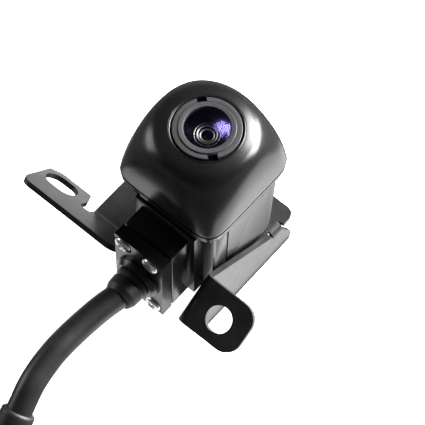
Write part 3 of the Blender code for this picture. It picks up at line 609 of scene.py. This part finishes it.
def make_lens_ring():
    """The screwed ring that holds the front glass, with its two spanner notches."""
    corners = [
        (GLASS_EDGE_R + 0.07, -0.6, 0.0),
        (6.7, -0.6, 0.0),
        (6.7, 0.3, 0.1),
        (5.82, 0.3, 0.03),
        (5.68, 0.16, 0.03),
        (5.6, 0.56, 0.1),
        (4.6, 0.5, 0.06),
        (GLASS_EDGE_R + 0.07, 0.3, 0.03),
    ]
    ring = turned("lens_front_ring", filleted(corners), RING_BLACK, 128)
    for angle in NOTCH_ANGLES:
        notch = block((5.75, -0.95, -0.8), (7.6, 0.95, 1.0))
        notch.data.transform(TO_FRAME.inverted())
        notch.data.transform(Matrix.Rotation(math.radians(angle), 4, "Z"))
        notch.data.transform(TO_FRAME)
        cut(ring, notch)
    soften(ring, 0.05, 2)
    stand_for(ring, "lens_metal", "lens_ring")


def make_glass():
    """The domed front glass, its flange under the ring, and its hollow back."""
    steps = 20
    edge_angle = math.asin(GLASS_EDGE_R / GLASS_SPHERE_R)
    profile = [(0.0, 0.72), (1.0, 0.68), (2.2, 0.45), (3.4, -0.1), (4.1, -0.9)]
    profile += [(4.1, -2.3), (4.95, -2.3), (4.95, -0.95), (GLASS_EDGE_R, -0.9)]
    for step in range(steps + 1):
        angle = edge_angle * (1 - step / steps)
        radius = GLASS_SPHERE_R * math.sin(angle) if step < steps else 0.0
        profile.append((radius, GLASS_TOP_Z - GLASS_SPHERE_R * (1 - math.cos(angle))))
    made = turned("lens_front_glass", profile, FRONT_GLASS, 96)
    stand_for(made, "coated_glass", "front_glass")


def make_inner_rings():
    """Polished edges of the lens cells that show through the front glass as bright circles."""
    corners = [
        (1.35, -3.6, 0.0),
        (3.9, -3.6, 0.0),
        (3.9, -2.5, 0.05),
        (2.05, -2.5, 0.05),
        (1.95, -2.8, 0.0),
        (1.35, -2.8, 0.0),
    ]
    cell = turned("lens_cell", filleted(corners), BARREL_BLACK, 96)
    stand_for(cell, "lens_metal", "spacer_ring")
    for name, radius, z, wire in CELL_EDGES:
        profile = arc((radius, z), wire, 0, 360, 8)[:-1]
        ring = turned(f"lens_cell_edge_{name}", profile, RING_BRIGHT, 96, smooth=180.0)
        stand_for(ring, "lens_metal")


# ---------------------------------------------------------------- outlet
def make_screw(name, node, head_r, head_height, seat, axis, spin):
    """A pan-head screw with a rounded edge and a cross recess."""
    profile = [(0.0, -SCREW_LENGTH), (SCREW_SHANK_R, -SCREW_LENGTH), (SCREW_SHANK_R, 0.0)]
    profile += [(head_r - 0.08, 0.0), (head_r, 0.08)]
    steps = 9
    for step in range(steps + 1):
        angle = math.radians(90 * step / steps)
        radius = head_r * math.cos(angle) ** 0.75 if step < steps else 0.0
        profile.append((radius, head_height * (0.38 + 0.62 * math.sin(angle))))
    screw = turned(name, profile, SCREW_STEEL, 40, seat, axis)
    turn = Vector(axis).to_track_quat("Z", "Y").to_matrix().to_4x4()
    slot = Vector((head_r * 1.35, 0.85, head_height * 1.6))
    for number in range(2):
        bm = bmesh.new()
        bmesh.ops.create_cube(bm, size=1.0)
        for vert in bm.verts:
            taper = 1.0 if vert.co.z > 0 else 0.55
            vert.co = (vert.co.x * slot.x * taper, vert.co.y * slot.y * taper, vert.co.z * slot.z)
        angle = math.radians(spin + 90 * number)
        lift = Matrix.Translation((0, 0, head_height * 0.72))
        pose = Matrix.Translation(seat) @ turn @ lift @ Matrix.Rotation(angle, 4, "Z")
        bmesh.ops.transform(bm, matrix=pose, verts=bm.verts)
        cut(screw, add_mesh("recess", bm, SCREW_STEEL))
    screw.data.shade_smooth()
    screw.data.set_sharp_from_angle(angle=math.radians(35))
    stand_for(screw, "screw_chrome", node)


def make_outlet():
    """The screwed end cover of the cable outlet, with sunk screw seats and a collar for the gland."""
    low = (-BOX_X, BOX_END_Y, BOX_BOTTOM_Z)
    cover = block(low, (BOX_X, BOX_SPLIT_Y, BOX_TOP_Z), "outlet_end_cover", HOUSING_BLACK)
    collar = [(0.0, -1.0, 0.0), (5.2, -1.0, 0.0), (5.2, 0.6, 0.35), (4.45, 1.6, 0.3), (0.0, 1.6, 0.0)]
    boss = turned("collar", filleted(collar), HOUSING_BLACK, 72, (0.0, BOX_END_Y, GLAND_Z), (0, -1, 0))
    cut(cover, boss, "UNION")
    cut(cover, drum(3.05, (0, -24, GLAND_Z), (0, -16, GLAND_Z), 64))
    for x, z in OUTLET_SCREWS:
        cut(cover, drum(SCREW_HEAD_R + 0.3, (x, BOX_END_Y - 3, z), (x, BOX_END_Y + SCREW_SEAT_DEPTH, z), 40))
        cut(cover, drum(1.1, (x, -22, z), (x, -16, z), 24))
    cut(cover, block((-5.5, -18.3, -38.1), (5.5, -17.0, -25.3)))
    soften(cover, 0.32)
    stand_for(cover, "black_plastic", "outlet_cover")


def make_screws():
    """Four screws in the outlet's end cover, and three that hold the bracket to the housing."""
    for number, (x, z) in enumerate(OUTLET_SCREWS):
        names = (f"pan_head_{number + 1}", f"outlet_screw_{number + 1}")
        seat = (x, BOX_END_Y + 0.6, z)
        make_screw(*names, SCREW_HEAD_R, SCREW_HEAD_HEIGHT, seat, (0, -1, 0), OUTLET_SPINS[number])
    for number, (x, y) in enumerate(BRACKET_SCREWS):
        names = (f"plate_screw_{number + 1}", f"bracket_screw_{number + 1}")
        seat = (x, y, PLATE_Z - SHEET / 2 - 0.05)
        make_screw(*names, BRACKET_HEAD_R, BRACKET_HEAD_HEIGHT, seat, (0, 0, -1), 20 + 25 * number)


def make_gland():
    """The rubber bush round the cable: a collar, a groove and a lip."""
    corners = [
        (2.55, -2.0, 0.0),
        (2.95, -2.0, 0.0),
        (2.95, 1.7, 0.0),
        (3.75, 1.7, 0.15),
        (3.75, 2.5, 0.15),
        (3.35, 2.75, 0.1),
        (3.35, 3.1, 0.1),
        (3.65, 3.3, 0.15),
        (3.55, 5.2, 0.4),
        (3.0, 6.5, 0.3),
        (2.55, 6.6, 0.0),
    ]
    made = turned("gland_bush", filleted(corners), GLAND_RUBBER, 72, (0, BOX_END_Y, GLAND_Z), (0, -1, 0))
    stand_for(made, "black_rubber", "cable_gland")


# ---------------------------------------------------------------- bracket
def sheet_outline(corners):
    """Points of an outline whose corners are (x, y) or (x, y, radius)."""
    return filleted([(*corner, 0.0) if len(corner) == 2 else corner for corner in corners], 8)


def add_panel(bm, points, matrix):
    """One flat panel of the sheet's middle surface."""
    bm.faces.new([bm.verts.new(matrix @ Vector((x, y, 0))) for x, y in points])


def add_bend(bm, start, end, first, second, radius, angle):
    """A bend between two panels: first is the way to the bend line in one panel, second the way on."""
    steps = 10
    reach = radius * math.tan(angle / 2)
    tangent = Vector(first)
    normal = (Vector(second) - tangent * math.cos(angle)).normalized()
    rows = []
    for step in range(steps + 1):
        turn = angle * step / steps
        shift = tangent * (radius * math.sin(turn) - reach) + normal * (radius * (1 - math.cos(turn)))
        rows.append([bm.verts.new(Vector(p) + shift) for p in (start, end)])
    for near, far in zip(rows, rows[1:]):
        bm.faces.new((near[0], near[1], far[1], far[0]))


def make_slot(ear_frame):
    """A cutter for the ear's slot, with round ends."""
    outline = [
        *arc((EAR_SLOT[0] + EAR_SLOT_HALF, EAR_SLOT[1]), EAR_SLOT_R, -90, 90, 24),
        *arc((EAR_SLOT[0] - EAR_SLOT_HALF, EAR_SLOT[1]), EAR_SLOT_R, 90, 270, 24),
    ]
    bm = bmesh.new()
    face = bm.faces.new([bm.verts.new((x, y, -2.0)) for x, y in outline])
    grown = bmesh.ops.extrude_face_region(bm, geom=[face])
    raised = [item for item in grown["geom"] if isinstance(item, bmesh.types.BMVert)]
    bmesh.ops.translate(bm, vec=(0, 0, 4.0), verts=raised)
    bmesh.ops.transform(bm, matrix=ear_frame, verts=bm.verts)
    return add_mesh("slot", bm, COATED_STEEL)


def make_bracket():
    """One bent sheet: the plate behind the camera, a raised ear, and an arm that ends in a tab."""
    bm = bmesh.new()
    ear_reach = EAR_BEND_R * math.tan(EAR_ANGLE / 2)
    plate = [
        (PLATE_LEFT, BEND_Y + ear_reach),
        (EAR_ROOT_X, BEND_Y + ear_reach),
        (EAR_ROOT_X, BEND_Y),
        (3.0, BEND_Y),
        (4.0, -9.0),
        (ARM_X - SHEET / 2 - 0.05, 1.0),
        (ARM_X - SHEET / 2 - 0.05, 7.7),
        (ARM_X - ARM_BEND_R, NECK_Y[0]),
        (ARM_X - ARM_BEND_R, NECK_Y[1]),
        (11.4, 11.4),
        (11.4, 13.4),
        (10.8, 14.6),
        (9.6, PLATE_REAR),
        (-14.0, PLATE_REAR, 1.2),
        (PLATE_LEFT, 9.0, 1.2),
    ]
    add_panel(bm, sheet_outline(plate), Matrix.Translation((0, 0, PLATE_Z)))
    c = math.cos(EAR_ANGLE)
    s = math.sin(EAR_ANGLE)
    ear_frame = Matrix(((1, 0, 0, 0), (0, -c, -s, BEND_Y), (0, s, -c, PLATE_Z), (0, 0, 0, 1)))
    ear = [
        (EAR_ROOT_X, ear_reach),
        (EAR_ROOT_X, EAR_DEPTH, 3.0),
        (-34.6, EAR_DEPTH, 2.4),
        (-34.6, -3.3, 0.6),
        (-32.2, -4.8, 0.8),
        (-24.1, -4.8, 0.5),
        (-22.8, -1.5, 0.4),
        (-22.8, 2.0, 0.7),
        (-20.5, 2.0, 0.4),
        (PLATE_LEFT, ear_reach),
    ]
    add_panel(bm, sheet_outline(ear), ear_frame)
    bend_ends = ((PLATE_LEFT, BEND_Y, PLATE_Z), (EAR_ROOT_X, BEND_Y, PLATE_Z))
    add_bend(bm, *bend_ends, (0, -1, 0), (0, -c, s), EAR_BEND_R, EAR_ANGLE)

    c = math.cos(TAB_ANGLE)
    s = math.sin(TAB_ANGLE)
    tab_low = (TAB_TOP[0] - TAB_DEPTH * c, TAB_TOP[1] - TAB_DEPTH * s)
    arm_frame = Matrix(((0, 0, 1, ARM_X), (1, 0, 0, 0), (0, 1, 0, 0), (0, 0, 0, 1)))
    arm = [
        (TAB_TOP[0] + TAB_BEND_R * s, TAB_TOP[1] - TAB_BEND_R * c),
        (tab_low[0] + TAB_BEND_R * s, tab_low[1] - TAB_BEND_R * c),
        (-13.5, ARM_BOTTOM_Z),
        (13.6, ARM_BOTTOM_Z, 0.8),
        (14.1, -49.5, 0.8),
        (NECK_Y[1], PLATE_Z - ARM_BEND_R),
        (NECK_Y[0], PLATE_Z - ARM_BEND_R),
        (7.6, PLATE_Z + 0.1, 0.3),
    ]
    add_panel(bm, sheet_outline(arm), arm_frame)
    neck = [(ARM_X, y, PLATE_Z) for y in NECK_Y]
    add_bend(bm, *neck, (1, 0, 0), (0, 0, -1), ARM_BEND_R, math.pi / 2)
    fold = ((ARM_X, *TAB_TOP), (ARM_X, *tab_low))
    add_bend(bm, *fold, (0, -s, c), (1, 0, 0), TAB_BEND_R, math.pi / 2)
    tab_frame = Matrix(((1, 0, 0, ARM_X), (0, -c, -s, TAB_TOP[0]), (0, -s, c, TAB_TOP[1]), (0, 0, 0, 1)))
    tab = [
        (TAB_BEND_R, 0.0),
        (TAB_WIDTH, 0.0, TAB_CORNER),
        (TAB_WIDTH, TAB_DEPTH, TAB_CORNER),
        (TAB_BEND_R, TAB_DEPTH),
    ]
    add_panel(bm, sheet_outline(tab), tab_frame)
    made = add_mesh("bent_bracket", bm, COATED_STEEL)
    thick = made.modifiers.new("thickness", "SOLIDIFY")
    thick.thickness = SHEET * MM
    thick.offset = 0.0

    hole = tab_frame @ Vector((*TAB_HOLE, 0))
    normal = tab_frame.to_3x3() @ Vector((0, 0, 3))
    cut(made, drum(TAB_HOLE_R, hole - normal, hole + normal, 64))
    cut(made, make_slot(ear_frame))
    for x, y in BRACKET_SCREWS:
        cut(made, drum(BRACKET_SCREW_HOLE_R, (x, y, PLATE_Z - 2), (x, y, PLATE_Z + 2), 32))
    soften(made, 0.16, 2)
    stand_for(made, "black_steel", "bracket")


# ---------------------------------------------------------------- cable
def smooth_points(points, per_span):
    """A Catmull-Rom curve through a list of points."""
    points = [Vector(p) for p in points]
    line = []
    for k in range(len(points) - 1):
        before = points[k - 1] if k else points[0] * 2 - points[1]
        after = points[k + 2] if k + 2 < len(points) else points[-1] * 2 - points[-2]
        for step in range(per_span):
            t = step / per_span
            a = points[k] * 2
            b = (points[k + 1] - before) * t
            c = (before * 2 - points[k] * 5 + points[k + 1] * 4 - after) * t * t
            d = (points[k] * 3 - before - points[k + 1] * 3 + after) * t * t * t
            line.append((a + b + c + d) / 2)
    line.append(points[-1])
    return line


def coil_points():
    """Turns on the floor and on each other: each turn climbs over the one before it in its last stretch."""
    points = []
    for step in range(1, int(COIL_TURNS * POINTS_PER_TURN)):
        turn, share = divmod(step / POINTS_PER_TURN, 1.0)
        climb = max(0.0, (share - CLIMB_FROM) / (1 - CLIMB_FROM))
        level = turn + climb * climb * (3 - 2 * climb)
        angle = -2 * math.pi * step / POINTS_PER_TURN
        radius = COIL_R + 0.7 * math.cos(math.pi * level) + 0.25 * math.sin(angle * 2)
        x = COIL_CENTRE[0] + radius * math.cos(angle)
        y = COIL_CENTRE[1] + radius * math.sin(angle)
        points.append((x, y, FLOOR + CABLE_R + COIL_PITCH * level))
    return points


def make_cable():
    """The whole cable in one curve: its run from the gland, the coil, and the tail to the plug."""
    route = [*CABLE_ROUTE, (6.6, -88.0, -49.4), (7.7, -96.0, -49.4)]
    route += coil_points()
    route += [(-52.2, -96.0, -38.9), (-52.0, -89.5, -40.9), *TAIL_ROUTE]
    points = [place(*p) for p in smooth_points(route, 4)]
    curve = bpy.data.curves.new("camera_cable", "CURVE")
    curve.dimensions = "3D"
    spline = curve.splines.new("POLY")
    spline.points.add(len(points) - 1)
    for point, co in zip(spline.points, points):
        point.co = (*co, 1.0)
    spline.use_smooth = True
    curve.bevel_depth = CABLE_R * MM
    curve.bevel_resolution = 6
    curve.use_fill_caps = True
    curve.materials.append(JACKET)
    cable = bpy.data.objects.new("camera_cable", curve)
    bpy.context.collection.objects.link(cable)
    stand_for(cable, "cable_jacket", "cable", "cable_tail", "cable_coil")
    return cable, points


def even_points(points, spacing):
    """Points a fixed distance apart along a fine line."""
    even = [points[0]]
    left = spacing
    for a, b in zip(points, points[1:]):
        span = (b - a).length
        while span >= left:
            a = a.lerp(b, left / span)
            even.append(a)
            span = (b - a).length
            left = spacing
        left -= span
    return even


def make_sleeve():
    """The moulded sleeve on the cable, with rounded ends: rings swept along the cable's own line."""
    line = even_points(smooth_points(CABLE_ROUTE, 40), SLEEVE_STEP)
    first = round(SLEEVE_START / SLEEVE_STEP)
    last = round((SLEEVE_START + SLEEVE_LENGTH) / SLEEVE_STEP)
    ends = ((0, CABLE_R - 0.1), (0, SLEEVE_R - 0.35), (1, SLEEVE_R - 0.1), (2, SLEEVE_R))
    stations = [(first + step, radius) for step, radius in ends]
    stations += [(step, SLEEVE_R) for step in range(first + 4, last - 3, 2)]
    stations += [(last - step, radius) for step, radius in reversed(ends)]
    sides = 40
    rings = []
    for index, radius in stations:
        way = (line[index + 1] - line[index - 1]).normalized()
        side = way.cross(Vector((0, 0, 1))).normalized()
        up = side.cross(way)
        ring = []
        for k in range(sides):
            angle = 2 * math.pi * k / sides
            ring.append(line[index] + (side * math.cos(angle) + up * math.sin(angle)) * radius)
        rings.append(ring)
    made = loft("cable_sleeve_tube", rings, GLAND_RUBBER)
    return stand_for(made, "black_rubber", "cable_sleeve")


def make_tie():
    """A hook-and-loop band round the coil's turns, with its overlapping end."""
    out = Vector((math.cos(TIE_ANGLE), math.sin(TIE_ANGLE), 0))
    along = Vector((-math.sin(TIE_ANGLE), math.cos(TIE_ANGLE), 0))
    half_out, half_up = TIE_HALF
    middle = Vector((*COIL_CENTRE, FLOOR + half_up)) + out * COIL_R
    corners = ((-half_out, -half_up), (half_out, -half_up), (half_out, half_up), (-half_out, half_up))
    inner_out = (half_out - TIE_THICK) / half_out
    inner_up = (half_up - TIE_THICK) / half_up
    outer_edges = ((1, 1, -TIE_HALF_WIDTH), (1, 1, TIE_HALF_WIDTH))
    inner_edges = ((inner_out, inner_up, TIE_HALF_WIDTH), (inner_out, inner_up, -TIE_HALF_WIDTH))
    rings = []
    for a, b in filleted([(x, y, TIE_CORNER) for x, y in corners], 8):
        ring = []
        for share_out, share_up, side in (*outer_edges, *inner_edges):
            ring.append(middle + out * a * share_out + Vector((0, 0, b * share_up)) + along * side)
        rings.append(ring)
    band = loft("coil_tie", rings, TIE_BLACK)
    flap = block((-3.1, -3.6, -0.35), (3.1, 3.6, 0.35))
    flap.data.transform(TO_FRAME.inverted())
    turn = Matrix((out, along, (0, 0, 1))).transposed().to_4x4()
    flap.data.transform(Matrix.Translation(middle + Vector((0, 0, half_up + 0.1))) @ turn)
    flap.data.transform(TO_FRAME)
    cut(band, flap, "UNION")
    soften(band, 0.12, 2)
    return stand_for(band, "black_rubber")


def make_plug():
    """The plug and its latch keep the CAD's shapes, with rounded edges; the latch rides on its own body."""
    body = soften(refined("plug_shell", "plug_body", PLUG_BLACK), 0.12, 2)
    stand_for(body, "black_plastic", "plug_body")
    latch = soften(refined("plug_latch_lever", "plug_latch", PLUG_BLACK), 0.1, 2)
    stand_for(latch, "black_plastic", "plug_latch", body="latch")
    return body, latch


# ---------------------------------------------------------------- stage
CAMERA_PLACE = (137.55, -166.06, 387.32)
CAMERA_BACK = (0.28802, -0.35214, 0.89053)
CAMERA_ROLL = 1.29
LENS = 198.9
LIGHT_TARGET = (0.0, -5.0, -20.0)
TABLE_GLOW = 1.2
TABLE_HEIGHT = -0.0003
CARD_STEP = 0.00005
# Cards on the table that only reflections see, each with two corners and a glow. The first is wide and dark.
# The bright ones lie where the right side and the arm, the ear, and the outlet's end mirror the table.
CARDS = (
    ((-1500, -1500), (1500, 1500), 0.06),
    ((12, -32), (80, 60), 1.9),
    ((-52, -2), (-21, 28), 1.8),
    ((-42, -40), (12, -12), 1.2),
)


def make_camera():
    """The camera, at the photo's viewing angle."""
    data = bpy.data.cameras.new("camera")
    data.lens = LENS
    data.sensor_width = 36.0
    data.clip_start = 0.01
    data.clip_end = 50.0
    camera = bpy.data.objects.new("camera", data)
    bpy.context.collection.objects.link(camera)
    camera.location = place(*CAMERA_PLACE)
    camera.rotation_mode = "QUATERNION"
    turn = Vector(CAMERA_BACK).to_track_quat("Z", "Y")
    roll = Matrix.Rotation(math.radians(CAMERA_ROLL), 3, "Z").to_quaternion()
    camera.rotation_quaternion = turn @ roll
    bpy.context.scene.camera = camera


def flat_sheet(name, low, high, height, level, glow, seen):
    """A level sheet between two corners in millimetres, at a height in metres: the table, or a card."""
    bm = bmesh.new()
    bmesh.ops.create_grid(bm, x_segments=2, y_segments=2, size=0.5)
    size = [(b - a) * MM for a, b in zip(low, high)]
    bmesh.ops.transform(bm, matrix=Matrix.Diagonal((*size, 1.0, 1.0)), verts=bm.verts)
    data = bpy.data.meshes.new(name)
    bm.to_mesh(data)
    bm.free()
    made = bpy.data.objects.new(name, data)
    bpy.context.collection.objects.link(made)
    made.location = place((low[0] + high[0]) / 2, (low[1] + high[1]) / 2, 0)
    made.location.z = cad_box[0][2] + height
    look = Look(name, grey(level), 0.8)
    look.set(Specular_IOR_Level=0.1, Emission_Color=(1, 1, 1, 1), Emission_Strength=glow)
    data.materials.append(look.material)
    made.visible_camera = seen
    made.visible_shadow = seen


def make_floor():
    """A white table for the camera, and the cards whose reflections shape the black surfaces."""
    flat_sheet("table", (-4000, -4000), (4000, 4000), TABLE_HEIGHT, 0.9, TABLE_GLOW, True)
    for number, (low, high, glow) in enumerate(CARDS):
        height = TABLE_HEIGHT + CARD_STEP * (number + 1)
        flat_sheet(f"card_{number}", low, high, height, 0.05, glow, False)


def softbox(name, direction, distance, size, power):
    """A soft area light that way from the object, aimed at it."""
    data = bpy.data.lights.new(name, "AREA")
    data.shape = "RECTANGLE"
    data.size = size[0]
    data.size_y = size[1]
    data.energy = power
    light = bpy.data.objects.new(name, data)
    bpy.context.collection.objects.link(light)
    way = Vector(direction).normalized()
    light.location = place(*LIGHT_TARGET) + way * distance
    light.rotation_mode = "QUATERNION"
    light.rotation_quaternion = way.to_track_quat("Z", "Y")
    light.visible_camera = False


def make_light():
    """Three soft lights, and surroundings that darken with height."""
    world = bpy.data.worlds.new("studio")
    bpy.context.scene.world = world
    world.use_nodes = True
    nodes = world.node_tree.nodes
    links = world.node_tree.links
    background = nodes["Background"]
    where = nodes.new("ShaderNodeTexCoord").outputs["Generated"]
    split = nodes.new("ShaderNodeSeparateXYZ")
    links.new(where, split.inputs["Vector"])
    ramp = nodes.new("ShaderNodeValToRGB")
    ramp.color_ramp.elements[0].position = 0.0
    ramp.color_ramp.elements[0].color = (0.12, 0.12, 0.12, 1.0)
    ramp.color_ramp.elements[1].position = 0.6
    ramp.color_ramp.elements[1].color = (0.025, 0.025, 0.025, 1.0)
    links.new(split.outputs["Z"], ramp.inputs["Fac"])
    links.new(ramp.outputs["Color"], background.inputs["Color"])
    background.inputs["Strength"].default_value = 1.0
    softbox("rear_box", (0.13, 0.70, 0.70), 1.3, (0.6, 0.6), 26.0)
    softbox("right_box", (0.45, 0.78, 0.40), 1.3, (1.0, 0.9), 80.0)
    softbox("left_box", (-0.90, -0.36, 0.16), 1.5, (0.7, 1.0), 9.0)
    bpy.context.scene.view_settings.view_transform = "Standard"


# ---------------------------------------------------------------- pieces
make_camera()
make_floor()
make_light()
cable, cable_line = make_cable()
sleeve = make_sleeve()
tie = make_tie()
plug, latch = make_plug()
make_cover()
make_lens_ring()
make_glass()
make_inner_rings()
make_housing()
make_outlet()
make_screws()
make_gland()
make_bracket()

finish_node("lens_holder", HOUSING_BLACK)
for name in ("lens_barrel", "stop_ring"):
    finish_node(name, BARREL_BLACK)
for name in ("second_lens", "rear_lens", "ir_filter"):
    finish_node(name, INNER_GLASS)
for name in ("cover_seal", "lens_seal", "outlet_gasket"):
    finish_node(name, GLAND_RUBBER)
for name in ("sensor_board", "main_board"):
    finish_node(name, BOARD)
for name in ("image_sensor", "video_chip", "board_header"):
    finish_node(name, CHIP)
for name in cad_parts:
    if name.startswith(("board_nut", "board_spacer", "plug_pin")):
        finish_node(name, BRASS)
    if name.startswith("board_screw"):
        finish_node(name, SCREW_STEEL)
for number, material in enumerate(WIRES):
    finish_node(f"wire_{number + 1}", material)
